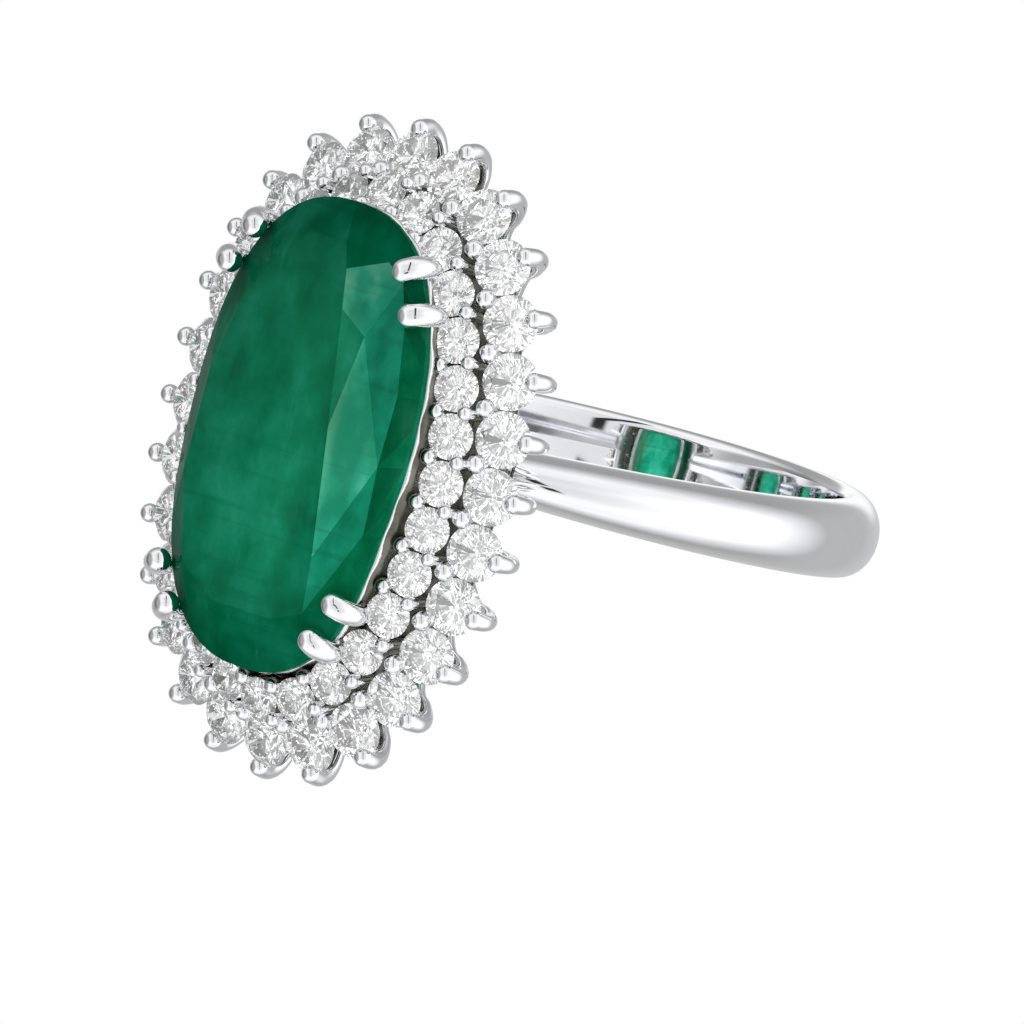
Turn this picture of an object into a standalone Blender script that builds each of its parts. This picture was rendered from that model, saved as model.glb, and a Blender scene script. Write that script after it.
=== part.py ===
"""Cocktail ring: an oval emerald in an eight-claw basket, two rows of round diamonds, and a domed band.

The finger hole's centre is the origin, the finger points along Y, and the emerald's table faces +Z.
"""

import math

import bmesh
import bpy
from mathutils import Matrix, Vector

MM = 0.001

# Band
HOLE_HALF_WIDTH = 8.65 * MM
HOLE_STRETCH = 1.064
BAND_END = math.radians(150.0)
BAND_HALF_WIDTH = 1.42 * MM
BAND_NARROWING = 0.29 * MM
BAND_THICKNESS = 1.36 * MM
BAND_THICKENING = 0.26 * MM
BAND_WALL = 0.40 * MM
BAND_EDGE = 0.34 * MM
BAND_TAPER_REF = math.radians(110.0)

# Head
HEAD_SHIFT = -0.55 * MM
STONES_PER_ROW = 28
OUTER_ROW = dict(long=9.66 * MM, short=6.50 * MM, power=2.19, height=12.10 * MM)
OUTER_DIAMETER = 1.85 * MM
OUTER_LEAN = math.radians(22.0)
INNER_ROW = dict(long=8.40 * MM, short=5.08 * MM, power=2.01, height=12.94 * MM)
INNER_DIAMETER = 1.49 * MM
INNER_LEAN = math.radians(21.0)
BASE_RAIL = dict(long=7.60 * MM, short=4.55 * MM, power=2.2, height=9.62 * MM)
BASE_RAIL_RADIUS = 0.36 * MM
TRAY_THICKNESS = 0.22 * MM
LUG_RADIUS = 0.36 * MM
LUG_HALF_LENGTH = 0.70 * MM
WIRE = 0.26 * MM
BEAD = 0.23 * MM

# Emerald
EMERALD_SHIFT = 0.25 * MM
EMERALD_LONG = 7.69 * MM
EMERALD_SHORT = 4.58 * MM
EMERALD_POWER = 2.45
EMERALD_HEIGHT = 14.22 * MM
EMERALD_LEVELS = (
    (0.30, -2.90 * MM),
    (0.74, -1.55 * MM),
    (1.00, -0.10 * MM),
    (1.00, 0.06 * MM),
    (0.87, 0.62 * MM),
    (0.68, 1.02 * MM),
)

# Basket: its claw pairs stand in these gaps of the inner row, each slid a little along Y (mm).
BASKET_RING = dict(long=6.30 * MM, short=3.00 * MM, power=2.1, height=10.55 * MM)
BASKET_RING_RADIUS = 0.24 * MM
SEAT_RAIL_RADIUS = 0.12 * MM
CLAW_SLIDES = {2: -0.25, 3: -0.15, 10: 0.50, 11: 0.55, 16: 0.15, 17: 0.10, 24: -0.20, 25: -0.25}

for old in list(bpy.data.objects):
    bpy.data.objects.remove(old, do_unlink=True)

ring = bpy.data.collections.new("cocktail_ring")
bpy.context.scene.collection.children.link(ring)
tools = bpy.data.collections.new("tools")
bpy.context.scene.collection.children.link(tools)


def material(name, colour, roughness, metallic, transmission=0.0, ior=1.5):
    made = bpy.data.materials.new(name)
    made.use_nodes = True
    shader = made.node_tree.nodes["Principled BSDF"]
    shader.inputs["Base Color"].default_value = (*colour, 1.0)
    shader.inputs["Roughness"].default_value = roughness
    shader.inputs["Metallic"].default_value = metallic
    shader.inputs["Transmission Weight"].default_value = transmission
    shader.inputs["IOR"].default_value = ior
    return made


BAND_METAL = material("band_metal", (0.86, 0.86, 0.87), 0.06, 1.0)
HALO_METAL = material("halo_metal", (0.80, 0.80, 0.81), 0.10, 1.0)
BASKET_METAL = material("basket_metal", (0.84, 0.84, 0.85), 0.08, 1.0)
DIAMOND = material("diamond", (1.0, 1.0, 1.0), 0.0, 0.0, 1.0, 2.42)
EMERALD = material("emerald", (0.01, 0.24, 0.13), 0.03, 0.0, 0.3, 1.58)


def add_object(name, mesh, look, parent=None, collection=ring):
    made = bpy.data.objects.new(name, mesh)
    if not mesh.materials:
        mesh.materials.append(look)
    collection.objects.link(made)
    made.parent = parent
    return made


def mesh_from(name, bm):
    mesh = bpy.data.meshes.new(name)
    bmesh.ops.recalc_face_normals(bm, faces=bm.faces)
    bm.to_mesh(mesh)
    bm.free()
    return mesh


def skin(bm, loops, closed):
    """Joins point loops of equal length with faces, and caps the two ends of an open run."""
    rows = [[bm.verts.new(point) for point in loop] for loop in loops]
    pairs = list(zip(rows, rows[1:]))
    if closed:
        pairs.append((rows[-1], rows[0]))
    for near, far in pairs:
        for i in range(len(near)):
            j = (i + 1) % len(near)
            bm.faces.new((near[i], near[j], far[j], far[i]))
    if not closed:
        bm.faces.new(rows[0])
        bm.faces.new(rows[-1])


def oval(long, short, power, angle):
    """A point of a superellipse whose long axis is Y, at an angle measured from +Y towards +X."""
    s, c = math.sin(angle), math.cos(angle)
    x = short * math.copysign(abs(s) ** (2 / power), s)
    y = long * math.copysign(abs(c) ** (2 / power), c)
    return Vector((x, y, 0.0))


def stations(long, short, power, height, count, phase=0.0):
    """Evenly spaced places on an oval, as (point, outward normal), starting phase steps past +Y."""
    fine = 3600
    points = [oval(long, short, power, 2 * math.pi * i / fine) for i in range(fine + 1)]
    run = [0.0]
    for a, b in zip(points, points[1:]):
        run.append(run[-1] + (b - a).length)
    found = []
    index = 0
    for k in range(count):
        target = ((k + phase) % count) / count * run[-1]
        if target < run[index]:
            index = 0
        while run[index + 1] < target:
            index += 1
        share = (target - run[index]) / (run[index + 1] - run[index])
        along = (points[index + 1] - points[index]).normalized()
        spot = points[index].lerp(points[index + 1], share)
        found.append((spot + Vector((0, 0, height)), Vector((-along.y, along.x, 0.0))))
    return found


def hull_of(name, points):
    """The convex solid through the points, which is what a cut gem is."""
    bm = bmesh.new()
    for point in points:
        bm.verts.new(point)
    bmesh.ops.convex_hull(bm, input=bm.verts)
    return mesh_from(name, bm)


def brilliant(name, diameter):
    """A round brilliant of 16 girdle points, with its girdle plane at zero."""
    points = [Vector((0, 0, -0.445 * diameter))]
    for share, height, count in ((0.56, 0.165, 8), (1.0, 0.015, 16), (1.0, -0.015, 16)):
        for i in range(count):
            angle = 2 * math.pi * i / count
            reach = share * diameter / 2
            points.append(Vector((reach * math.cos(angle), reach * math.sin(angle), diameter * height)))
    return hull_of(name, points)


def wires(name, runs, sides_step, collection=tools):
    """Round wires along point runs as one mesh. A run is (points, radii, closed)."""
    curve = bpy.data.curves.new(name, "CURVE")
    curve.dimensions = "3D"
    curve.bevel_depth = 1.0
    curve.bevel_resolution = sides_step
    curve.use_fill_caps = True
    for points, radii, closed in runs:
        spline = curve.splines.new("POLY")
        spline.points.add(len(points) - 1)
        spline.use_cyclic_u = closed
        for slot, point, radius in zip(spline.points, points, radii):
            slot.co = (*point, 1.0)
            slot.radius = radius
    holder = bpy.data.objects.new(name + "_curve", curve)
    collection.objects.link(holder)
    bpy.context.view_layer.update()
    evaluated = holder.evaluated_get(bpy.context.evaluated_depsgraph_get())
    mesh = bpy.data.meshes.new_from_object(evaluated)
    mesh.name = name
    mesh.materials.clear()
    bpy.data.objects.remove(holder, do_unlink=True)
    bm = bmesh.new()
    bm.from_mesh(mesh)
    bmesh.ops.remove_doubles(bm, verts=bm.verts, dist=1e-6)
    bmesh.ops.recalc_face_normals(bm, faces=bm.faces)
    bm.to_mesh(mesh)
    bm.free()
    return mesh


def rounded(points, radii):
    """Adds a domed end to a wire's last point."""
    tip = points[-1]
    along = (tip - points[-2]).normalized()
    radius = radii[-1]
    return points + [tip + along * radius * 0.75], radii + [radius * 0.5]


def loop_run(places, offset, rise, radius):
    """A closed rail through the places, moved outwards and up."""
    points = [spot + out * offset + Vector((0, 0, rise)) for spot, out in places]
    return points, [radius] * len(points), True


def fused(name, rails, posts, look, parent, extra=None):
    """One body made of rails and posts, and of one more closed mesh if there is one."""
    body = add_object(name, wires(name, rails, 1), look, parent)
    rods = add_object(name + "_posts", wires(name + "_posts", posts, 1), look, parent, tools)
    rods.hide_render = True
    rods.display_type = "WIRE"
    if extra:
        sheet = add_object(name + "_sheet", extra, look, parent, tools)
        sheet.hide_render = True
        sheet.display_type = "WIRE"
        join = body.modifiers.new("sheet", "BOOLEAN")
        join.operation = "UNION"
        join.solver = "EXACT"
        join.object = sheet
    union = body.modifiers.new("posts", "BOOLEAN")
    union.operation = "UNION"
    union.solver = "EXACT"
    union.use_self = True
    union.object = rods
    return body


# Band: a domed section swept round the finger hole, narrower and thicker towards the head.
def band_section(angle):
    share = (angle / BAND_TAPER_REF) ** 2
    half = BAND_HALF_WIDTH - BAND_NARROWING * share
    thick = BAND_THICKNESS + BAND_THICKENING * share
    outline = []
    for step in range(3):
        turn = math.radians(45 * step)
        outline.append((BAND_EDGE * (1 - math.cos(turn)), -(half - BAND_EDGE) - BAND_EDGE * math.sin(turn)))
    for step in range(1, 8):
        turn = math.radians(-90 + 22.5 * step)
        outline.append((BAND_WALL + (thick - BAND_WALL) * math.cos(turn), half * math.sin(turn)))
    for step in (2, 1, 0):
        turn = math.radians(45 * step)
        outline.append((BAND_EDGE * (1 - math.cos(turn)), (half - BAND_EDGE) + BAND_EDGE * math.sin(turn)))
    loop = []
    for out, across in outline:
        reach = HOLE_HALF_WIDTH + out
        loop.append((reach * math.sin(angle), across, -reach * HOLE_STRETCH * math.cos(angle)))
    return loop


band = bmesh.new()
BAND_STEPS = 68
band_angles = [BAND_END * (2 * i / BAND_STEPS - 1) for i in range(BAND_STEPS + 1)]
skin(band, [band_section(angle) for angle in band_angles], closed=False)
shank = add_object("shank", mesh_from("shank", band), BAND_METAL)
shank.data.shade_smooth()

head = bpy.data.objects.new("head", None)
head.location = (0, HEAD_SHIFT, 0)
ring.objects.link(head)

# Diamonds, numbered from the +Y end round towards +X.
rows = (
    ("outer_diamond", OUTER_ROW, OUTER_DIAMETER, OUTER_LEAN),
    ("inner_diamond", INNER_ROW, INNER_DIAMETER, INNER_LEAN),
)
for label, row, diameter, lean in rows:
    cut = brilliant(label, diameter)
    for number, (spot, out) in enumerate(stations(count=STONES_PER_ROW, **row), 1):
        axis = Vector((0, 0, math.cos(lean))) + out * math.sin(lean)
        along = Vector((0, 0, 1)).cross(out)
        stone = add_object(f"{label}_{number:02d}", cut, DIAMOND, head)
        stone.location = spot
        stone.rotation_euler = Matrix((along, axis.cross(along), axis)).transposed().to_euler()

# Emerald
gem_points = []
for share, height in EMERALD_LEVELS:
    for i in range(32):
        spot = oval(EMERALD_LONG * share, EMERALD_SHORT * share, EMERALD_POWER, 2 * math.pi * i / 32)
        gem_points.append(spot + Vector((0, 0, height)))
emerald = add_object("emerald", hull_of("emerald", gem_points), EMERALD, head)
emerald.location = (0, EMERALD_SHIFT, EMERALD_HEIGHT)

# Halo frame: a base rail, a tray under the stones, the outer claws, and the beads between the stones.
UP = Vector((0, 0, 1))
outer_stones = stations(count=STONES_PER_ROW, **OUTER_ROW)
outer_gaps = stations(count=STONES_PER_ROW, phase=0.5, **OUTER_ROW)
inner_gaps = stations(count=STONES_PER_ROW, phase=0.5, **INNER_ROW)
base_places = stations(count=2 * STONES_PER_ROW, **BASE_RAIL)
halo_rails = [loop_run(base_places, 0.0, 0.0, BASE_RAIL_RADIUS)]
tray = bmesh.new()
tray_loops = []
tray_outer = stations(count=2 * STONES_PER_ROW, phase=0.5, **OUTER_ROW)
tray_inner = stations(count=2 * STONES_PER_ROW, phase=0.5, **INNER_ROW)
for (outer_spot, outer_out), (inner_spot, inner_out) in zip(tray_outer, tray_inner):
    top = [
        outer_spot - outer_out * 0.55 * MM - UP * 1.00 * MM,
        outer_spot - outer_out * 0.98 * MM - UP * 0.90 * MM,
        inner_spot + inner_out * 0.10 * MM - UP * 0.98 * MM,
        inner_spot - inner_out * 0.78 * MM - UP * 0.92 * MM,
    ]
    tray_loops.append(top + [point - UP * TRAY_THICKNESS for point in reversed(top)])
skin(tray, tray_loops, closed=True)
halo_posts = []
for k in range(STONES_PER_ROW):
    spot, out = outer_stones[k]
    foot = base_places[2 * k][0]
    claw = [
        foot,
        spot - out * 0.40 * MM - UP * 1.62 * MM,
        spot + out * 0.42 * MM - UP * 1.24 * MM,
        spot + out * 1.04 * MM - UP * 0.80 * MM,
        spot + out * 1.20 * MM - UP * 0.42 * MM,
        spot + out * 1.06 * MM - UP * 0.06 * MM,
    ]
    sizes = [0.20 * MM, 0.21 * MM, 0.22 * MM, 0.24 * MM, WIRE, WIRE]
    halo_posts.append((*rounded(claw, sizes), False))

    spot, out = outer_gaps[k]
    foot = base_places[2 * k + 1][0]
    post = [
        foot,
        spot - out * 1.02 * MM - UP * 1.02 * MM,
        spot - out * 0.76 * MM + UP * 0.34 * MM,
    ]
    halo_posts.append((*rounded(post, [0.18 * MM, 0.19 * MM, BEAD]), False))

    lower = spot - out * 0.96 * MM - UP * 0.80 * MM
    spot, out = inner_gaps[k]
    post = [lower, spot + out * 0.66 * MM + UP * 0.10 * MM]
    halo_posts.append((*rounded(post, [0.18 * MM, BEAD * 0.9]), False))

# Beads on the inner row's inner side, in the gaps that no claw of the basket takes.
for k in range(STONES_PER_ROW):
    spot, out = inner_gaps[k]
    if k in CLAW_SLIDES:
        continue
    post = [spot - out * 0.76 * MM - UP * 1.16 * MM, spot - out * 0.69 * MM + UP * 0.20 * MM]
    halo_posts.append((*rounded(post, [0.17 * MM, BEAD * 0.9]), False))
    if k % 2 == 0:
        foot = base_places[2 * k + 1][0]
        halo_posts.append(([foot, post[0]], [0.18 * MM, 0.16 * MM], False))
# Two lugs carry the halo frame on the band's ends.
end_reach = HOLE_HALF_WIDTH + 0.75 * BAND_THICKNESS
for side in (-1, 1):
    end = Vector((side * end_reach * math.sin(BAND_END), 0, -end_reach * HOLE_STRETCH * math.cos(BAND_END)))
    onward = Vector((side * math.cos(BAND_END), 0, math.sin(BAND_END)))
    centre = end + onward * (LUG_RADIUS + 0.05 * MM) - head.location
    half = Vector((0, LUG_HALF_LENGTH, 0))
    halo_posts.append(([centre - half, centre + half], [LUG_RADIUS] * 2, False))
fused("halo_frame", halo_rails, halo_posts, HALO_METAL, head, mesh_from("halo_tray", tray))

# Emerald basket: base ring, seat rail and eight claws folded over the crown.
girdle = stations(EMERALD_LONG, EMERALD_SHORT, EMERALD_POWER, EMERALD_HEIGHT, 64)
shift = Vector((0, EMERALD_SHIFT, 0))
girdle = [(spot + shift, out) for spot, out in girdle]
ring_places = stations(count=56, **BASKET_RING)
basket_rails = [
    loop_run(girdle, -0.02 * MM, -0.44 * MM, SEAT_RAIL_RADIUS),
    loop_run(ring_places, 0.0, 0.0, BASKET_RING_RADIUS),
]
basket_posts = []
for k, slide in CLAW_SLIDES.items():
    spot, out = inner_gaps[k]
    target = spot + Vector((0, slide * MM, 0))
    edge, edge_out = min(girdle, key=lambda place: (place[0] - target).xy.length)
    foot = min(ring_places, key=lambda place: (place[0] - spot).xy.length)[0]
    claw = [
        foot,
        spot - out * 1.34 * MM - UP * 1.16 * MM,
        spot - out * 0.84 * MM - UP * 0.06 * MM,
        edge + edge_out * 0.06 * MM - UP * 0.62 * MM,
        edge + edge_out * 0.42 * MM - UP * 0.18 * MM,
        edge + edge_out * 0.47 * MM + UP * 0.22 * MM,
        edge + edge_out * 0.27 * MM + UP * 0.62 * MM,
        edge - edge_out * 0.08 * MM + UP * 0.88 * MM,
    ]
    sizes = [0.22 * MM, 0.22 * MM, 0.22 * MM, 0.24 * MM, 0.28 * MM, 0.32 * MM, 0.36 * MM, 0.36 * MM]
    basket_posts.append((*rounded(claw, sizes), False))
fused("emerald_basket", basket_rails, basket_posts, BASKET_METAL, head)
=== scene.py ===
"""Looks of the cocktail ring: polished white metal, cut stones, soft studio surroundings.

Lengths are written in millimetres and scaled by MM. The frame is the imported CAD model's:
finger hole centre at the origin, finger along Y, emerald table facing +Z.
"""

import math
import random

import bmesh
import bpy
from mathutils import Matrix, Vector


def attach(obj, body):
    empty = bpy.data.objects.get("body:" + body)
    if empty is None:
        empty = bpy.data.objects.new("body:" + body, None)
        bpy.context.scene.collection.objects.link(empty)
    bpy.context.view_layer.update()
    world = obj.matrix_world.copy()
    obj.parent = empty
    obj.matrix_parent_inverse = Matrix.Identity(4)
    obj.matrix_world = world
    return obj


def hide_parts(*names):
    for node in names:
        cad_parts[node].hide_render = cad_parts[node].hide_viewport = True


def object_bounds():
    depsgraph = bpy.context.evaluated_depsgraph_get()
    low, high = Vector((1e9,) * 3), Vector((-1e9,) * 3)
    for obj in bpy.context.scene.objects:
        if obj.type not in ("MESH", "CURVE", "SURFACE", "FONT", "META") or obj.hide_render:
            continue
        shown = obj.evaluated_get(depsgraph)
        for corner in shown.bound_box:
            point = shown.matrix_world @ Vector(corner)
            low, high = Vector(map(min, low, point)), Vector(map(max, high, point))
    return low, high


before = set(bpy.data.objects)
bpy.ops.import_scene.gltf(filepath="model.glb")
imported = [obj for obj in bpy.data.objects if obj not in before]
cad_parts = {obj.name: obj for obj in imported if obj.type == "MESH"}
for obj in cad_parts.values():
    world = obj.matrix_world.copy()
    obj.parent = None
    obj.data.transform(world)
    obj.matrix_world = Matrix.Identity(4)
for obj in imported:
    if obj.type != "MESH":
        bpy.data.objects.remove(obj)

MM = 0.001
UP = Vector((0, 0, 1))
WHITE = (1.0, 1.0, 1.0)
cad_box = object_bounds()
rng = random.Random(28)

# ---------------------------------------------------------------- camera
VIEW_RIGHT = Vector((0.75030, 0.24475, -0.61413))
VIEW_UP = Vector((-0.24311, 0.96600, 0.08797))
VIEW_BACK = Vector((0.61478, 0.08330, 0.78429))
CAMERA_AIM = Vector((-1.173, -1.953, 1.069)) * MM
CAMERA_DISTANCE = 400 * MM
SENSOR_WIDTH, FOCAL_LENGTH = 36, 428.6
CLIP_NEAR, CLIP_FAR = 0.02, 20


def build_camera():
    camera = bpy.data.objects.new("camera", bpy.data.cameras.new("camera"))
    bpy.context.scene.collection.objects.link(camera)
    facing = Matrix((VIEW_RIGHT, VIEW_UP, VIEW_BACK)).transposed().to_4x4()
    camera.matrix_world = Matrix.Translation(CAMERA_AIM + VIEW_BACK * CAMERA_DISTANCE) @ facing
    camera.data.sensor_width = SENSOR_WIDTH
    camera.data.lens = FOCAL_LENGTH
    camera.data.clip_start = CLIP_NEAR
    camera.data.clip_end = CLIP_FAR
    bpy.context.scene.camera = camera
    bpy.context.scene.view_settings.view_transform = "Standard"
    bpy.context.scene.view_settings.look = "None"


# ---------------------------------------------------------------- node helpers
class Nodes:
    """Short calls for building a node tree."""

    def __init__(self, tree):
        self.tree = tree
        tree.nodes.clear()

    def add(self, kind, **settings):
        node = self.tree.nodes.new(kind)
        for key, value in settings.items():
            setattr(node, key, value)
        return node

    def put(self, socket, value):
        if hasattr(value, "is_linked"):
            self.tree.links.new(value, socket)
        else:
            socket.default_value = value

    def math(self, operation, *values):
        node = self.add("ShaderNodeMath", operation=operation)
        for socket, value in zip(node.inputs, values):
            self.put(socket, value)
        return node.outputs[0]

    def times(self, a, b):
        return self.math("MULTIPLY", a, b)

    def dot(self, vector, axis):
        node = self.add("ShaderNodeVectorMath", operation="DOT_PRODUCT")
        self.put(node.inputs[0], vector)
        node.inputs[1].default_value = tuple(axis)
        return node.outputs["Value"]

    def span(self, value, low, high, out_low=0.0, out_high=1.0, smooth=True):
        kind = "SMOOTHSTEP" if smooth else "LINEAR"
        node = self.add("ShaderNodeMapRange", interpolation_type=kind)
        self.put(node.inputs["Value"], value)
        node.inputs["From Min"].default_value = low
        node.inputs["From Max"].default_value = high
        node.inputs["To Min"].default_value = out_low
        node.inputs["To Max"].default_value = out_high
        return node.outputs[0]

    def ramp(self, value, stops):
        node = self.add("ShaderNodeValToRGB")
        self.put(node.inputs[0], value)
        points = node.color_ramp.elements
        while len(points) < len(stops):
            points.new(1.0)
        for point, (place, colour) in zip(points, stops):
            point.position = place
            point.color = (*(colour if isinstance(colour, tuple) else (colour,) * 3), 1)
        return node.outputs[0]

    def mix(self, share, a, b, blend="MIX"):
        node = self.add("ShaderNodeMix", data_type="RGBA", blend_type=blend)
        self.put(node.inputs[0], share)
        for socket, value in ((node.inputs[6], a), (node.inputs[7], b)):
            self.put(socket, (*value, 1) if isinstance(value, tuple) else value)
        return node.outputs[2]

    def multiplied(self, a, b):
        return self.mix(1.0, a, b, "MULTIPLY")

    def noise(self, vector, scale, detail=3.0, roughness=0.5):
        node = self.add("ShaderNodeTexNoise")
        self.put(node.inputs["Vector"], vector)
        node.inputs["Scale"].default_value = scale
        node.inputs["Detail"].default_value = detail
        node.inputs["Roughness"].default_value = roughness
        return node.outputs["Fac"]

    def stretched_noise(self, vector, stretch, turn, detail, roughness):
        node = self.add("ShaderNodeMapping")
        self.put(node.inputs["Vector"], vector)
        node.inputs["Scale"].default_value = stretch
        node.inputs["Rotation"].default_value = (0, 0, turn)
        return self.noise(node.outputs[0], 1.0, detail, roughness)

    def place(self):
        """The point's place on the object, in the frame's own coordinates."""
        return self.add("ShaderNodeTexCoord").outputs["Object"]

    def finish(self, shader, output="ShaderNodeOutputMaterial"):
        self.put(self.add(output).inputs[0], shader.outputs[0])


def new_material(name):
    made = bpy.data.materials.new(name)
    made.use_nodes = True
    return made, Nodes(made.node_tree)


# ---------------------------------------------------------------- studio
# Right, up and back are a direction's parts along the view's axes, from -1 to 1. A span of four
# numbers is (from, to, value at from, value at to). A span of two goes from 0 to 1.
TENT_DEPTH = (  # from behind the ring, 0, to behind the lens, 1
    (0.0, 0.60), (0.10, 0.50), (0.28, 0.50), (0.43, 1.0),
    (0.55, 1.4), (0.75, 1.35), (0.90, 1.0), (1.0, 0.80),
)
SHADE_TOP = (0.25, 0.75, 1.0, 0.72)
SHADE_FOOT = (-0.96, -0.62, 0.76, 1.0)
LEFT_CARD = (-0.90, -0.62, 0.30, 1.0)
REAR_PANEL_UP, REAR_PANEL_BACK = (0.02, 0.22), (-0.95, -0.86, 0.45, 0.0)
SLIT_ACROSS, SLIT_UP, SLIT_BACK = (0.030, 0.075, 1.0, 0.0), (-0.52, -0.40), (0.28, 0.42)
SLIT_GAP_UP, SLIT_GAP, SLIT_DEPTH = -0.16, (0.05, 0.08), 0.96
PANEL_SCALE = 4.5
PANEL_LIGHT = ((0.0, 0.20), (0.20, 0.30), (0.34, 0.68), (0.60, 1.00), (0.78, 1.55), (1.0, 2.00))
FLOOR_REACH, FLOOR_GAP = 3.0, 0.05 * MM


def build_world():
    """White to the camera. To the ring, a light tent with grey sides and one narrow dark slit."""
    world = bpy.data.worlds.new("studio")
    bpy.context.scene.world = world
    world.use_nodes = True
    n = Nodes(world.node_tree)
    direction = n.add("ShaderNodeTexCoord").outputs["Generated"]
    right = n.dot(direction, VIEW_RIGHT)
    up = n.dot(direction, VIEW_UP)
    back = n.dot(direction, VIEW_BACK)

    depth = n.ramp(n.span(back, -1, 1, smooth=False), TENT_DEPTH)
    light = n.times(depth, n.times(n.span(up, *SHADE_TOP), n.span(up, *SHADE_FOOT)))
    light = n.times(light, n.span(right, *LEFT_CARD))
    rear_panel = n.times(n.span(up, *REAR_PANEL_UP), n.span(back, *REAR_PANEL_BACK))
    light = n.math("ADD", light, rear_panel)
    slit = n.span(n.math("ABSOLUTE", right), *SLIT_ACROSS)
    slit = n.times(slit, n.span(up, *SLIT_UP))
    slit = n.times(slit, n.span(back, *SLIT_BACK))
    off_gap = n.math("ABSOLUTE", n.math("SUBTRACT", up, SLIT_GAP_UP))
    slit = n.times(slit, n.span(off_gap, *SLIT_GAP))
    light = n.times(light, n.math("SUBTRACT", 1.0, n.times(slit, SLIT_DEPTH)))

    # Light that has come through a stone sees bright panels and dark gaps.
    cells = n.add("ShaderNodeTexVoronoi", feature="F1")
    n.put(cells.inputs["Vector"], direction)
    cells.inputs["Scale"].default_value = PANEL_SCALE
    panel = n.add("ShaderNodeSeparateColor")
    n.put(panel.inputs[0], cells.outputs["Color"])
    sparkle = n.ramp(panel.outputs[0], PANEL_LIGHT)
    through = n.add("ShaderNodeLightPath").outputs["Is Transmission Ray"]
    light = n.mix(through, light, sparkle)

    tent = n.add("ShaderNodeBackground")
    n.put(tent.inputs["Color"], light)
    backdrop = n.add("ShaderNodeBackground")
    backdrop.inputs["Color"].default_value = (*WHITE, 1)
    both = n.add("ShaderNodeMixShader")
    n.put(both.inputs[0], n.add("ShaderNodeLightPath").outputs["Is Camera Ray"])
    n.put(both.inputs[1], tent.outputs[0])
    n.put(both.inputs[2], backdrop.outputs[0])
    n.finish(both, "ShaderNodeOutputWorld")


def build_floor():
    """A lit white table, too bright to hold a shadow."""
    look, n = new_material("lit_table")
    glow = n.add("ShaderNodeEmission")
    glow.inputs["Color"].default_value = (*WHITE, 1)
    n.finish(glow)
    mesh = bpy.data.meshes.new("floor")
    z = cad_box[0].z - FLOOR_GAP
    corners = [(x * FLOOR_REACH, y * FLOOR_REACH, z) for x, y in ((-1, -1), (1, -1), (1, 1), (-1, 1))]
    mesh.from_pydata(corners, [], [(0, 1, 2, 3)])
    mesh.materials.append(look)
    floor = bpy.data.objects.new("floor", mesh)
    bpy.context.scene.collection.objects.link(floor)
    floor.visible_glossy = False


# ---------------------------------------------------------------- materials
# Noise scales are per metre: 900 gives blotches of about a millimetre.
# Each noise is (stretch along X, Y and Z; turn about Z; detail; roughness).
GRIME_SCALE, GRIME_SPAN = 900, (0.35, 0.70)
GLOSS_SCALE, GLOSS_SPAN, GLOSS_RANGE = 2500, (0.3, 0.75), (0.6, 1.5)
POLISHING_MARKS = ((9000, 700, 9000), 0, 2, 0.5)
MARK_DEPTH = 0.002 * MM
DIAMOND_IOR, DIAMOND_GLOW = 2.417, 0.04
DIAMOND_TINT, TINT_SCALE, TINT_SPAN = (0.985, 0.988, 0.990), 500, (0.35, 0.65)
EMERALD_IOR = 1.58
CLOUDS, CLOUD_SHARE = ((260, 170, 300), 0, 6, 0.62), 0.66
FINE_CLOUDS, FINE_SHARE = ((900, 600, 900), 0, 4, 0.6), 0.34
EMERALD_BODY = (
    (0.40, (0.0005, 0.150, 0.066)), (0.50, (0.002, 0.245, 0.120)), (0.60, (0.014, 0.345, 0.192)),
)
# Each inclusion: its noise, the span where it shows, its strength and its colour.
SILK = (((500, 3000, 500), 0.9, 3, 0.7), (0.68, 0.80), 0.26, (0.05, 0.36, 0.23))
VEIL = (((1500, 160, 700), 0.5, 5, 0.65), (0.60, 0.72), 0.40, (0.03, 0.42, 0.27))
STRATA = (((90, 2200, 400), -0.12, 3, 0.6), (0.55, 0.68), 0.36, (0.0, 0.15, 0.08))
# Painted shade darkens the body along an axis: (from, to) in mm, then the brightness between them.
PAINTED_SHADE_ALONG_Y = (-8.0, 7.5), (
    (0.0, 0.54), (0.12, 0.74), (0.25, 0.93), (0.45, 0.85), (0.72, 0.66), (0.88, 0.56), (1.0, 0.42),
)
PAINTED_SHADE_ALONG_X = (-4.7, 0.0), ((0.0, 0.50), (0.20, 0.63), (0.55, 0.87), (1.0, 1.0))
EMERALD_SPECULAR, EMERALD_GLOSS = 0.09, 0.03
SEEN_THROUGH, SEEN_THROUGH_BLUR = 0.14, 0.35
SEEN_THROUGH_COLOUR = (0.16, 0.80, 0.50)


def metal(name, colour, roughness, grime, scratch):
    """Polished white metal: faint polishing marks, and a duller tone where grime gathers."""
    look, n = new_material(name)
    place = n.place()
    shader = n.add("ShaderNodeBsdfPrincipled")
    shader.inputs["Metallic"].default_value = 1.0
    clean = n.span(n.noise(place, GRIME_SCALE, 4), *GRIME_SPAN)
    darker = tuple(v * (1 - grime) for v in colour)
    n.put(shader.inputs["Base Color"], n.mix(clean, darker, colour))
    smoothest, roughest = (roughness * share for share in GLOSS_RANGE)
    gloss = n.span(n.noise(place, GLOSS_SCALE), *GLOSS_SPAN, smoothest, roughest)
    n.put(shader.inputs["Roughness"], gloss)
    bump = n.add("ShaderNodeBump")
    bump.inputs["Strength"].default_value = scratch
    bump.inputs["Distance"].default_value = MARK_DEPTH
    n.put(bump.inputs["Height"], n.stretched_noise(place, *POLISHING_MARKS))
    n.put(shader.inputs["Normal"], bump.outputs[0])
    n.finish(shader)
    return look


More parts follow.
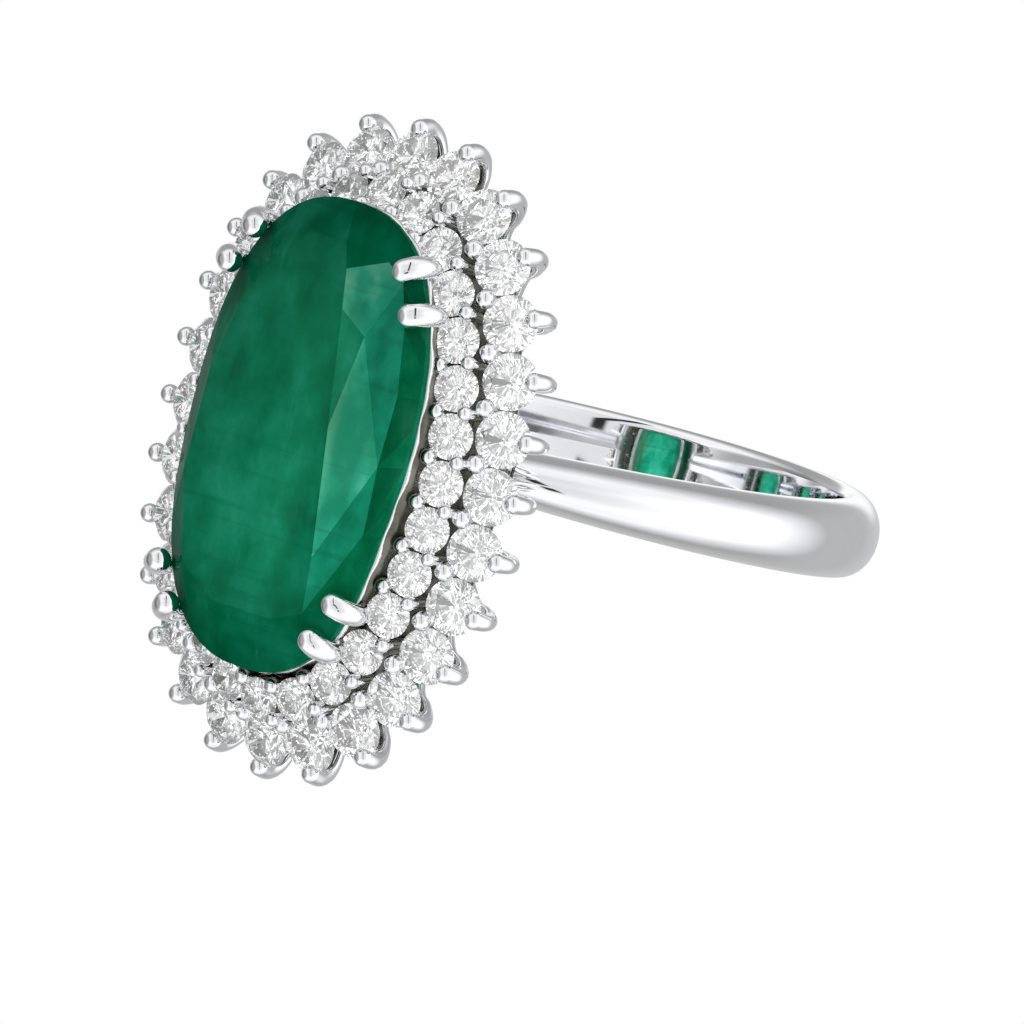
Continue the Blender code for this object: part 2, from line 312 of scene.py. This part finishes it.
def diamond_look():
    """Clear glass of diamond's refraction, with a faint glow for the light that many bounces lose."""
    look, n = new_material("diamond_cut")
    glass = n.add("ShaderNodeBsdfGlass")
    glass.inputs["IOR"].default_value = DIAMOND_IOR
    glass.inputs["Roughness"].default_value = 0.0
    tint = n.span(n.noise(n.place(), TINT_SCALE, 2), *TINT_SPAN)
    n.put(glass.inputs["Color"], n.mix(tint, DIAMOND_TINT, WHITE))
    glow = n.add("ShaderNodeEmission")
    glow.inputs["Color"].default_value = (*WHITE, 1)
    glow.inputs["Strength"].default_value = DIAMOND_GLOW
    both = n.add("ShaderNodeAddShader")
    n.put(both.inputs[0], glass.outputs[0])
    n.put(both.inputs[1], glow.outputs[0])
    n.finish(both)
    return look


def emerald_look():
    """Green body with drifting clouds and silk, and painted shade that darkens both ends and the -X side.
    Each facet has its own tone of painted light.
    """
    look, n = new_material("emerald_cut")
    place = n.place()
    # The facet's tone is painted light, what each facet shows from inside the stone; it tints the body and
    # the light seen through.
    facet = n.add("ShaderNodeAttribute", attribute_name="tone")
    clouds = n.times(n.stretched_noise(place, *CLOUDS), CLOUD_SHARE)
    fine = n.times(n.stretched_noise(place, *FINE_CLOUDS), FINE_SHARE)
    body = n.ramp(n.math("ADD", clouds, fine), EMERALD_BODY)
    body = n.multiplied(body, facet.outputs["Color"])
    for pattern, shows, strength, colour in (SILK, VEIL, STRATA):
        share = n.times(n.span(n.stretched_noise(place, *pattern), *shows), strength)
        body = n.mix(share, body, colour)
    # Painted shade: the body darkens towards both ends along Y and towards -X.
    axes = n.add("ShaderNodeSeparateXYZ")
    n.put(axes.inputs[0], place)
    painted_shades = []
    for axis, ((low, high), stops) in (("Y", PAINTED_SHADE_ALONG_Y), ("X", PAINTED_SHADE_ALONG_X)):
        painted_shades.append(n.ramp(n.span(axes.outputs[axis], low * MM, high * MM, smooth=False), stops))
    body = n.multiplied(body, n.multiplied(*painted_shades))
    surface = n.add("ShaderNodeBsdfPrincipled")
    n.put(surface.inputs["Base Color"], body)
    surface.inputs["Roughness"].default_value = EMERALD_GLOSS
    surface.inputs["IOR"].default_value = EMERALD_IOR
    n.put(surface.inputs["Specular IOR Level"], n.times(facet.outputs["Alpha"], EMERALD_SPECULAR))
    glass = n.add("ShaderNodeBsdfRefraction")
    glass.inputs["IOR"].default_value = EMERALD_IOR
    glass.inputs["Roughness"].default_value = SEEN_THROUGH_BLUR
    n.put(glass.inputs["Color"], n.multiplied(SEEN_THROUGH_COLOUR, facet.outputs["Color"]))
    both = n.add("ShaderNodeMixShader")
    both.inputs[0].default_value = SEEN_THROUGH
    n.put(both.inputs[1], surface.outputs[0])
    n.put(both.inputs[2], glass.outputs[0])
    n.finish(both)
    return look


# ---------------------------------------------------------------- shape helpers
STATION_STEPS = 3600
TIP_STEPS, TIP_STEP = 6, 14.5  # a wire's round head: rings, and degrees between them


def oval(long, short, power, angle):
    """A point of a superellipse with its long axis on Y, by the angle from +Y towards +X."""
    s, c = math.sin(angle), math.cos(angle)
    x = short * math.copysign(abs(s) ** (2 / power), s)
    y = long * math.copysign(abs(c) ** (2 / power), c)
    return Vector((x, y, 0.0))


def stations(long, short, power, height, count, phase=0.0):
    """Evenly spaced places on an oval, as (point, outward normal), from phase steps past +Y."""
    turns = [2 * math.pi * i / STATION_STEPS for i in range(STATION_STEPS + 1)]
    points = [oval(long, short, power, turn) for turn in turns]
    run = [0.0]
    for a, b in zip(points, points[1:]):
        run.append(run[-1] + (b - a).length)
    found = []
    index = 0
    for k in range(count):
        target = ((k + phase) % count) / count * run[-1]
        while run[index + 1] < target:
            index += 1
        share = (target - run[index]) / (run[index + 1] - run[index])
        along = (points[index + 1] - points[index]).normalized()
        spot = points[index].lerp(points[index + 1], share)
        found.append((spot + Vector((0, HEAD_SHIFT, height)), Vector((-along.y, along.x, 0.0))))
    return found


def beside(place, outwards, upwards):
    """The point that many millimetres outwards and upwards of a place on an oval."""
    spot, out = place
    return spot + out * outwards * MM + UP * upwards * MM


def nearest(places, target):
    return min(places, key=lambda place: (place[0] - target).xy.length)


def curved(points, radii, per):
    """A smooth run through the points, with radii that follow."""
    last = len(points) - 1
    fine_points, fine_radii = [], []
    for i in range(last):
        near = [min(max(i + j, 0), last) for j in (-1, 0, 1, 2)]
        for step in range(per):
            t = step / per
            weights = (
                (-t + 2 * t * t - t**3) / 2,
                (2 - 5 * t * t + 3 * t**3) / 2,
                (t + 4 * t * t - 3 * t**3) / 2,
                (-t * t + t**3) / 2,
            )
            spots = (points[k] * w for k, w in zip(near, weights))
            fine_points.append(sum(spots, Vector((0, 0, 0))))
            fine_radii.append(sum(radii[k] * w for k, w in zip(near, weights)))
    return fine_points + [points[-1]], fine_radii + [radii[-1]]


def bridge(bm, rows):
    """Faces between each loop of vertices and the next."""
    for near, far in zip(rows, rows[1:]):
        for i in range(len(near)):
            j = (i + 1) % len(near)
            bm.faces.new((near[i], near[j], far[j], far[i]))


def tube(bm, points, radii, sides, closed=False, domed=True):
    """A closed round wire. An open one ends in a flat foot and a round head."""
    points, radii = list(points), list(radii)
    if not closed and domed:
        along = (points[-1] - points[-2]).normalized()
        tip, radius = points[-1], radii[-1]
        for step in range(1, TIP_STEPS + 1):
            turn = math.radians(TIP_STEP * step)
            points.append(tip + along * radius * math.sin(turn))
            radii.append(radius * math.cos(turn))
    count = len(points)
    rows = []
    across = None
    for i, (point, radius) in enumerate(zip(points, radii)):
        before = points[i - 1] if closed or i else point
        after = points[(i + 1) % count] if closed or i < count - 1 else point
        along = (after - before).normalized()
        if across is None:
            across = along.orthogonal()
        across = (across - along * across.dot(along)).normalized()
        other = along.cross(across)
        row = []
        for k in range(sides):
            turn = 2 * math.pi * k / sides
            offset = across * radius * math.cos(turn) + other * radius * math.sin(turn)
            row.append(bm.verts.new(point + offset))
        rows.append(row)
    if closed:
        # The sides may have turned on their way round: join to the nearest one.
        turn = min(range(sides), key=lambda k: (rows[-1][0].co - rows[0][k].co).length)
        bridge(bm, rows + [rows[0][turn:] + rows[0][:turn]])
    else:
        bridge(bm, rows)
        bm.faces.new(rows[0])
        bm.faces.new(rows[-1])


def rail(bm, places, radius, sides):
    """A round wire of one width that closes on itself."""
    tube(bm, [spot for spot, _ in places], [radius] * len(places), sides, closed=True)


def wire(bm, foot, steps, foot_radius, per, sides):
    """A bent wire from its foot through steps of (point, radius in mm)."""
    points = [foot] + [point for point, _ in steps]
    radii = [foot_radius * MM] + [radius * MM for _, radius in steps]
    tube(bm, *curved(points, radii, per), sides)


def post(bm, foot, top, share, radii):
    """A short straight post. The share is where its middle radius lies."""
    points = [foot, foot.lerp(top, share), top]
    tube(bm, *curved(points, [radius * MM for radius in radii], POST_STEPS), POST_SIDES)


def piece(name, bm, look, nodes, smooth=True):
    mesh = bpy.data.meshes.new(name)
    bmesh.ops.recalc_face_normals(bm, faces=bm.faces)
    bm.to_mesh(mesh)
    bm.free()
    if smooth:
        mesh.shade_smooth()
    mesh.materials.append(look)
    made = bpy.data.objects.new(name, mesh)
    bpy.context.scene.collection.objects.link(made)
    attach(made, "root")
    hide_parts(*nodes)
    return made


# ---------------------------------------------------------------- the CAD model's measures
HOLE_HALF_WIDTH = 8.65 * MM
HOLE_STRETCH = 1.064
BAND_END = math.radians(150)
BAND_TAPER_REF = math.radians(110)
BAND_EDGE = 0.34 * MM
BAND_WALL = 0.40 * MM
BAND_HALF_WIDTH, BAND_HALF_WIDTH_LOSS = 1.42, 0.29
BAND_THICKNESS, BAND_THICKNESS_GAIN = 1.36, 0.26
HEAD_SHIFT = -0.55 * MM
STONES_PER_ROW = 28
OUTER_ROW = dict(long=9.66 * MM, short=6.50 * MM, power=2.19, height=12.10 * MM)
INNER_ROW = dict(long=8.40 * MM, short=5.08 * MM, power=2.01, height=12.94 * MM)
OUTER_DIAMETER, OUTER_LEAN = 1.85 * MM, math.radians(22)
INNER_DIAMETER, INNER_LEAN = 1.49 * MM, math.radians(21)
GEM_CENTRE = Vector((0, HEAD_SHIFT + 0.25 * MM, 14.22 * MM))
GEM_LONG, GEM_SHORT, GEM_POWER = 7.69 * MM, 4.58 * MM, 2.45
BASE_RAIL = dict(long=7.60 * MM, short=4.55 * MM, power=2.2, height=9.62 * MM)
BASE_RAIL_RADIUS = 0.36 * MM
LUG_RADIUS, LUG_HALF_LENGTH, LUG_ONWARD = 0.36 * MM, 0.8 * MM, 0.41 * MM
LUG_DEPTH = 0.75  # share of the band's thickness
BASKET_RING = dict(long=6.30 * MM, short=3.00 * MM, power=2.1, height=10.55 * MM)
BASKET_RING_RADIUS = 0.24 * MM
# Gaps of the inner row where the emerald's claws rise, and how far each slides along the finger.
CLAW_SLIDES = {2: -0.25, 3: -0.15, 10: 0.70, 11: 0.77, 16: 0.15, 17: 0.10, 24: -0.20, 25: -0.25}

# Wires, in mm from the stone's or gap's place: (outwards, upwards, radius).
OUTER_CLAW_FOOT, OUTER_CLAW = 0.20, (
    (-0.55, -1.72, 0.21), (0.24, -1.40, 0.24), (0.78, -1.00, 0.26), (1.01, -0.52, 0.28), (0.91, -0.06, 0.32),
)
SHARED_CLAW_FOOT, SHARED_CLAW = 0.18, ((-1.02, -1.02, 0.19), (-0.84, -0.30, 0.28), (-0.64, 0.34, 0.33))
EMERALD_CLAW_FOOT, EMERALD_CLAW_STEM = 0.22, ((-1.34, -1.16, 0.22), (-0.84, -0.06, 0.22))
EMERALD_CLAW_HEAD = (  # from the girdle's edge
    (0.02, -0.62, 0.25), (0.34, -0.16, 0.31), (0.38, 0.26, 0.36), (0.18, 0.64, 0.41), (-0.06, 0.82, 0.42),
)
# Beads of the inner row: foot and top as (outwards, upwards), the middle's share, three radii.
OUTER_BEAD = (0.30, -1.05), (0.56, 0.16), 0.55, (0.18, 0.21, 0.245)
INNER_BEAD = (-0.76, -1.16), (-0.52, 0.26), 0.6, (0.17, 0.22, 0.29)
STRUT_RADII, STRUT_SIDES = (0.18 * MM, 0.16 * MM), 12
POST_STEPS, POST_SIDES = 5, 16
CLAW_SIDES, EMERALD_CLAW_SIDES = 18, 20
BASE_RAIL_SIDES, BASKET_RING_SIDES, SEAT_RAIL_SIDES = 16, 14, 10
# The stone tray's upper side, as (outwards, upwards) from the outer row and then from the inner row.
TRAY_OUTER, TRAY_INNER = ((-0.55, -1.00), (-0.98, -0.90)), ((0.10, -0.98), (-0.78, -0.92))
TRAY_THICKNESS = 0.22 * MM
TRAY_STEPS, RAIL_STEPS, GIRDLE_STEPS = 168, 160, 192
# The basket's wall runs from the stone tray to the seat rail.
WALL_FOOT, WALL_HEAD, WALL_THICKNESS = (-0.80, -0.96), (-0.27, -0.46), 0.08 * MM
SEAT_INWARDS, SEAT_DROP, SEAT_WAVE, SEAT_RADIUS = 0.10, 0.33, 0.08, 0.085 * MM
SEAT_UNEVEN = ((0.30, 13, 0.0), (0.25, 31, 1.0))  # (size, waves, phase)
FLAT_SHARE, FLAT_MIDDLE, FLAT_REACH = 0.06, -3.0, 2.6

outer_stones = stations(count=STONES_PER_ROW, **OUTER_ROW)
outer_gaps = stations(count=STONES_PER_ROW, phase=0.5, **OUTER_ROW)
inner_stones = stations(count=STONES_PER_ROW, **INNER_ROW)
inner_gaps = stations(count=STONES_PER_ROW, phase=0.5, **INNER_ROW)
base_places = stations(count=2 * STONES_PER_ROW, **BASE_RAIL)


# ---------------------------------------------------------------- shank
def band_section(angle, dome_steps=26, edge_steps=7):
    """The band's outline at an angle from its lowest point: flat inside, domed outside."""
    share = (angle / BAND_TAPER_REF) ** 2
    half = (BAND_HALF_WIDTH - BAND_HALF_WIDTH_LOSS * share) * MM
    thick = (BAND_THICKNESS + BAND_THICKNESS_GAIN * share) * MM
    edge = []
    for step in range(edge_steps):
        turn = math.pi / 2 * step / (edge_steps - 1)
        edge.append((BAND_EDGE * (1 - math.cos(turn)), (half - BAND_EDGE) + BAND_EDGE * math.sin(turn)))
    outline = [(out, -across) for out, across in edge]
    for step in range(1, dome_steps):
        turn = math.pi * (step / dome_steps - 0.5)
        outline.append((BAND_WALL + (thick - BAND_WALL) * math.cos(turn), half * math.sin(turn)))
    outline += reversed(edge)
    loop = []
    for out, across in outline:
        reach = HOLE_HALF_WIDTH + out
        loop.append(Vector((reach * math.sin(angle), across, -reach * HOLE_STRETCH * math.cos(angle))))
    return loop


def build_shank(look, steps=220):
    bm = bmesh.new()
    angles = [BAND_END * (2 * i / steps - 1) for i in range(steps + 1)]
    rows = [[bm.verts.new(p) for p in band_section(angle)] for angle in angles]
    bridge(bm, rows)
    bm.faces.new(rows[0])
    bm.faces.new(rows[-1])
    made = piece("shank_band", bm, look, ["shank"])
    made.data.set_sharp_from_angle(angle=math.radians(60))


# ---------------------------------------------------------------- halo frame
def build_base_rail(look):
    bm = bmesh.new()
    rail(bm, stations(count=RAIL_STEPS, **BASE_RAIL), BASE_RAIL_RADIUS, BASE_RAIL_SIDES)
    reach = HOLE_HALF_WIDTH + LUG_DEPTH * BAND_THICKNESS * MM
    half = Vector((0, LUG_HALF_LENGTH, 0))
    for side in (-1, 1):
        end = Vector((side * reach * math.sin(BAND_END), 0, -reach * HOLE_STRETCH * math.cos(BAND_END)))
        onward = Vector((side * math.cos(BAND_END), 0, math.sin(BAND_END)))
        centre = end + onward * LUG_ONWARD
        tube(bm, [centre - half, centre, centre + half], [LUG_RADIUS] * 3, BASE_RAIL_SIDES)
    piece("halo_base_rail", bm, look, ["halo_frame"])


def build_stone_tray(look):
    bm = bmesh.new()
    outer = stations(count=TRAY_STEPS, phase=0.5, **OUTER_ROW)
    inner = stations(count=TRAY_STEPS, phase=0.5, **INNER_ROW)
    rows = []
    for outer_place, inner_place in zip(outer, inner):
        upper = [beside(outer_place, *step) for step in TRAY_OUTER]
        upper += [beside(inner_place, *step) for step in TRAY_INNER]
        lower = [p - UP * TRAY_THICKNESS for p in reversed(upper)]
        rows.append([bm.verts.new(p) for p in upper + lower])
    bridge(bm, rows + rows[:1])
    piece("halo_stone_tray", bm, look, ["halo_frame"])


def build_claws(look):
    """The outer claws, one at each outer stone, then the claws that both rows share."""
    for name, places, first, foot_radius, steps, per in (
        ("outer_claws", outer_stones, 0, OUTER_CLAW_FOOT, OUTER_CLAW, 8),
        ("shared_claws", outer_gaps, 1, SHARED_CLAW_FOOT, SHARED_CLAW, 6),
    ):
        bm = bmesh.new()
        for k, place in enumerate(places):
            foot = base_places[2 * k + first][0]
            path = [(beside(place, out, up), radius) for out, up, radius in steps]
            wire(bm, foot, path, foot_radius, per, CLAW_SIDES)
        piece(name, bm, look, ["halo_frame"])


def build_beads(look):
    """The inner row's beads on their posts. No inner bead stands where an emerald claw does."""
    bm = bmesh.new()
    for k, place in enumerate(inner_gaps):
        foot, top, share, radii = OUTER_BEAD
        post(bm, beside(place, *foot), beside(place, *top), share, radii)
        if k in CLAW_SLIDES:
            continue
        foot, top, share, radii = INNER_BEAD
        foot = beside(place, *foot)
        post(bm, foot, beside(place, *top), share, radii)
        if k % 2 == 0:
            tube(bm, [base_places[2 * k + 1][0], foot], STRUT_RADII, STRUT_SIDES, domed=False)
    piece("inner_row_beads", bm, look, ["halo_frame"])


# ---------------------------------------------------------------- emerald basket
def flatter_side(point):
    """A point from the stone's centre, moved in on +X: the outline is flatter there near -Y."""
    if point.x > 0:
        off = (point.y / MM - FLAT_MIDDLE) / FLAT_REACH
        point.x *= 1 - FLAT_SHARE * math.exp(-(off**2))
    return point


def build_basket(bright, dull, recess):
    girdle = []
    for spot, out in stations(GEM_LONG, GEM_SHORT, GEM_POWER, 0, GIRDLE_STEPS):
        edge = flatter_side(spot - Vector((0, HEAD_SHIFT, 0)))
        girdle.append((edge + GEM_CENTRE, out))
    ring_places = stations(count=RAIL_STEPS, **BASKET_RING)

    # The seat rail is hand finished: a thin wire of uneven width.
    bm = bmesh.new()
    seat, widths = [], []
    for i, place in enumerate(girdle):
        turn = 2 * math.pi * i / len(girdle)
        uneven = sum(size * math.sin(waves * turn + phase) for size, waves, phase in SEAT_UNEVEN)
        seat.append(beside(place, -SEAT_INWARDS, -(SEAT_DROP + SEAT_WAVE * uneven)))
        widths.append(SEAT_RADIUS * (1 + uneven))
    tube(bm, seat, widths, SEAT_RAIL_SIDES, closed=True)
    rail(bm, ring_places, BASKET_RING_RADIUS, BASKET_RING_SIDES)
    piece("basket_rails", bm, dull, ["emerald_basket"])

    # A thin wall, dark with the recess's painted shade, closes the gap between the seat rail and the stone
    # tray.
    bm = bmesh.new()
    rows = []
    for low, high in zip(stations(count=GIRDLE_STEPS, **INNER_ROW), girdle):
        foot, head = beside(low, *WALL_FOOT), beside(high, *WALL_HEAD)
        loop = (foot, head, head - high[1] * WALL_THICKNESS, foot - low[1] * WALL_THICKNESS)
        rows.append([bm.verts.new(p) for p in loop])
    bridge(bm, rows + rows[:1])
    piece("basket_wall", bm, recess, ["emerald_basket"])

    bm = bmesh.new()
    for k, slide in CLAW_SLIDES.items():
        gap = inner_gaps[k]
        edge = nearest(girdle, gap[0] + Vector((0, slide * MM, 0)))
        foot = nearest(ring_places, gap[0])[0]
        path = [(beside(gap, out, up), radius) for out, up, radius in EMERALD_CLAW_STEM]
        path += [(beside(edge, out, up), radius) for out, up, radius in EMERALD_CLAW_HEAD]
        wire(bm, foot, path, EMERALD_CLAW_FOOT, 8, EMERALD_CLAW_SIDES)
    piece("emerald_claws", bm, bright, ["emerald_basket"])


# ---------------------------------------------------------------- stones
# A round brilliant's angles in degrees, and its measures as shares of the radius.
CROWN_ANGLE, PAVILION_ANGLE = 34.0, 40.9
TABLE_REACH, STAR_REACH, LOWER_REACH, CULET_DEPTH = 0.57, 0.79, 0.21, 0.985
GIRDLE_HALF = 0.018  # share of the diameter
LEAN_SCATTER = 1.5  # degrees

# The emerald, in mm from its centre. The table's corners in order, then the crown's.
TABLE_HEIGHT, RIM_HEIGHT = 1.02, 0.44
TABLE_CORNERS = (
    ("V", 0.80, 6.40), ("A", 1.06, 5.62), ("D", 1.29, 4.35), ("G", 1.90, 0.65), ("I", 2.55, -3.50),
    ("K", 2.72, -5.30), ("M", 1.50, -5.80), ("N", -1.00, -5.80), ("O", -2.60, -4.90),
    ("P", -3.45, -2.00), ("Q", -3.40, 1.20), ("S", -2.90, 3.40), ("T", -2.10, 5.20), ("U", -0.60, 6.45),
)
CROWN_CORNERS = (  # name, x, y, then the height or three corners of the plane that it lies on
    ("H", 3.92, -0.17, 0.60), ("E", 2.29, 3.69, "GIH"), ("B", 2.42, 6.18, "ADE"), ("C", 3.10, 5.65, "ADE"),
    ("R1", 3.55, 4.25, "EHC"), ("R2", 3.93, 2.15, "EHC"), ("J", 3.78, -3.42, 0.45),
    ("R3", 3.92, -2.37, "IHJ"),
)
RIM_CORNERS = (
    (3.30, -5.00), (2.20, -6.35), (0.60, -6.95), (-1.20, -6.80), (-2.60, -5.95), (-3.50, -4.30),
    (-4.00, -2.20), (-4.10, 0.00), (-4.00, 2.20), (-3.50, 4.30), (-2.60, 5.95), (-1.20, 6.80), (0.50, 6.95),
)
GIRDLE_SIDES, GIRDLE_TOP, GIRDLE_FOOT = 56, 0.05, -0.10
PAVILION_STEPS = ((0.80, -1.25, 20, 0.5), (0.52, -2.25, 12, 0.0))  # size, height, corners, phase
PAVILION_POWER = 2.3
KEEL_HEIGHT, KEEL = -2.9, (-3.0, -1.0, 1.0, 3.0)

# Tones multiply the body's colour: painted light, what each facet shows from inside the stone. The rims'
# tones below are painted light too.
PAINTED_FACET_LIGHTS = (
    ("A B C E D", (15.0, 2.12, 2.60)), ("D E G", (2.5, 1.36, 1.45)), ("G E H I", (22.0, 2.48, 3.12)),
    ("E C R1 R2 H", (6.5, 1.80, 2.15)), ("I H R3 J", (3.6, 1.50, 1.70)),
)
FACET_FLOOR = 0.4
BACK_PAINTED_LIGHT, BACK_BELOW = (6.0, 2.6, 3.0), -0.11
RIM_LOW, RIM_HIGH, RIM_SHEEN, FACET_SHEEN = 0.08, 0.99, 0.06, 0.6
RIM_END = 5.0
TOP_RIM, FOOT_RIM = (0.9, 0.96, 0.96), (0.5, 0.86, 0.78)
TOP_RIGHT_RIM, TOP_RIGHT_X = (0.10, 0.72, 0.62), 0.5
LEFT_RIM, LEFT_RIM_X, LEFT_RIM_Y = (0.45, 0.74, 0.76), -2.5, 1.8
RIGHT_RIM, RIGHT_RIM_SHADES = (1.6, 0.86, 0.72), (0.72, 1.15)


def hull(points):
    bm = bmesh.new()
    for point in points:
        bm.verts.new(point)
    bmesh.ops.convex_hull(bm, input=bm.verts)
    loose = [v for v in bm.verts if not v.link_faces]
    bmesh.ops.delete(bm, geom=loose, context="VERTS")
    return bm


def brilliant_points(diameter):
    """The 58-facet round cut: table, stars, kites, girdle halves and pavilion mains."""
    r = diameter / 2
    rise, fall = math.tan(math.radians(CROWN_ANGLE)), math.tan(math.radians(PAVILION_ANGLE))
    half = GIRDLE_HALF * diameter
    step = math.cos(math.radians(22.5))
    points = [Vector((0, 0, -half - r * fall * CULET_DEPTH))]
    for k in range(8):
        main, between = math.radians(45 * k), math.radians(45 * k + 22.5)
        for angle, share, height in (
            (main, TABLE_REACH, half + (1 - TABLE_REACH) * r * rise),
            (between, STAR_REACH, half + (1 - STAR_REACH * step) * r * rise),
            (between, LOWER_REACH, -half - (1 - LOWER_REACH * step) * r * fall),
        ):
            points.append(Vector((share * r * math.cos(angle), share * r * math.sin(angle), height)))
    for k in range(32):
        angle = math.radians(11.25 * k)
        for height in (half, -half):
            points.append(Vector((r * math.cos(angle), r * math.sin(angle), height)))
    return points


def build_brilliants(look):
    for label, node, places, diameter, lean in (
        ("outer_brilliant", "outer_diamond", outer_stones, OUTER_DIAMETER, OUTER_LEAN),
        ("inner_brilliant", "inner_diamond", inner_stones, INNER_DIAMETER, INNER_LEAN),
    ):
        for number, (spot, out) in enumerate(places, 1):
            tilt = lean + math.radians(rng.uniform(-LEAN_SCATTER, LEAN_SCATTER))
            axis = UP * math.cos(tilt) + out * math.sin(tilt)
            along = UP.cross(out)
            turn = Matrix((along, axis.cross(along), axis)).transposed()
            turn = turn @ Matrix.Rotation(rng.uniform(0, math.pi / 4), 3, "Z")
            bm = hull([turn @ p + spot for p in brilliant_points(diameter)])
            piece(f"{label}_{number:02d}", bm, look, [f"{node}_{number:02d}"], smooth=False)


def on_plane(a, b, c, x, y):
    """The point at x, y on the plane through three corners."""
    normal = (b - a).cross(c - a)
    return Vector((x, y, a.z - (normal.x * (x - a.x) + normal.y * (y - a.y)) / normal.z))


def inside(point, corners):
    """True if the point lies within the corners, seen from above."""
    found = False
    for a, b in zip(corners, corners[1:] + corners[:1]):
        if (a.y > point.y) != (b.y > point.y):
            if point.x < (b.x - a.x) * (point.y - a.y) / (b.y - a.y) + a.x:
                found = not found
    return found


def painted_facet_light(middle, corners):
    """The tone of painted light and the sheen of the emerald's facet whose middle this is, in mm from the
    centre.
    """
    if middle.z < BACK_BELOW:
        return BACK_PAINTED_LIGHT, FACET_SHEEN
    if not RIM_LOW < middle.z < RIM_HIGH:
        return WHITE, FACET_SHEEN
    if middle.z > FACET_FLOOR:
        for names, tone in PAINTED_FACET_LIGHTS:
            if inside(middle, [corners[name] for name in names.split()]):
                return tone, FACET_SHEEN
    if middle.y > RIM_END:
        return (TOP_RIGHT_RIM if middle.x > TOP_RIGHT_X else TOP_RIM), RIM_SHEEN
    if middle.y < -RIM_END:
        return FOOT_RIM, RIM_SHEEN
    if middle.x < LEFT_RIM_X and middle.y < LEFT_RIM_Y:
        return LEFT_RIM, RIM_SHEEN
    if middle.x > 0:
        shade = rng.uniform(*RIGHT_RIM_SHADES)
        return tuple(v * shade for v in RIGHT_RIM), RIM_SHEEN
    return WHITE, RIM_SHEEN


def build_emerald(look):
    """An antique oval cut: a wide table, long crown facets towards +X, and a stepped back."""
    v = {name: Vector((x, y, TABLE_HEIGHT)) for name, x, y in TABLE_CORNERS}
    for name, x, y, height in CROWN_CORNERS:
        if isinstance(height, str):
            v[name] = on_plane(*(v[corner] for corner in height), x, y)
        else:
            v[name] = Vector((x, y, height))
    points = [p * MM for p in v.values()]
    points += [Vector((x, y, RIM_HEIGHT)) * MM for x, y in RIM_CORNERS]
    for i in range(GIRDLE_SIDES):
        edge = flatter_side(oval(GEM_LONG, GEM_SHORT, GEM_POWER, 2 * math.pi * i / GIRDLE_SIDES))
        points += [edge + UP * GIRDLE_TOP * MM, edge + UP * GIRDLE_FOOT * MM]
    for share, height, count, phase in PAVILION_STEPS:
        for i in range(count):
            angle = 2 * math.pi * (i + phase) / count
            step = oval(GEM_LONG * share, GEM_SHORT * share, PAVILION_POWER, angle)
            points.append(flatter_side(step) + UP * height * MM)
    points += [Vector((0, y * MM, KEEL_HEIGHT * MM)) for y in KEEL]
    bm = hull([p + GEM_CENTRE for p in points])

    # Each facet's tone of painted light goes in its corners' colour, with its sheen in alpha.
    layer = bm.loops.layers.float_color.new("tone")
    for face in bm.faces:
        middle = (face.calc_center_median() - GEM_CENTRE) / MM
        colour, sheen = painted_facet_light(middle, v)
        for loop in face.loops:
            loop[layer] = (*colour, sheen)
    piece("emerald_stone", bm, look, ["emerald"], smooth=False)


# ---------------------------------------------------------------- the whole ring
build_camera()
build_world()
build_floor()
# Each metal: colour, roughness, share of grime, depth of polishing marks.
band_look = metal("band_polish", (0.925, 0.935, 0.965), 0.045, 0.03, 0.05)
bead_look = metal("bead_polish", (0.915, 0.920, 0.945), 0.050, 0.05, 0.05)
# The recess metal's dark olive colour is painted shade, the shade in the hollows under the stones. It
# darkens the stone tray and the basket wall.
painted_recess_shade_look = metal("recess_painted_shade", (0.235, 0.235, 0.195), 0.30, 0.45, 0.6)
wire_look = metal("wire_polish", (0.88, 0.88, 0.88), 0.10, 0.12, 0.3)
build_shank(band_look)
build_base_rail(bead_look)
build_stone_tray(painted_recess_shade_look)
build_claws(bead_look)
build_beads(bead_look)
build_basket(bead_look, wire_look, painted_recess_shade_look)
build_brilliants(diamond_look())
build_emerald(emerald_look())
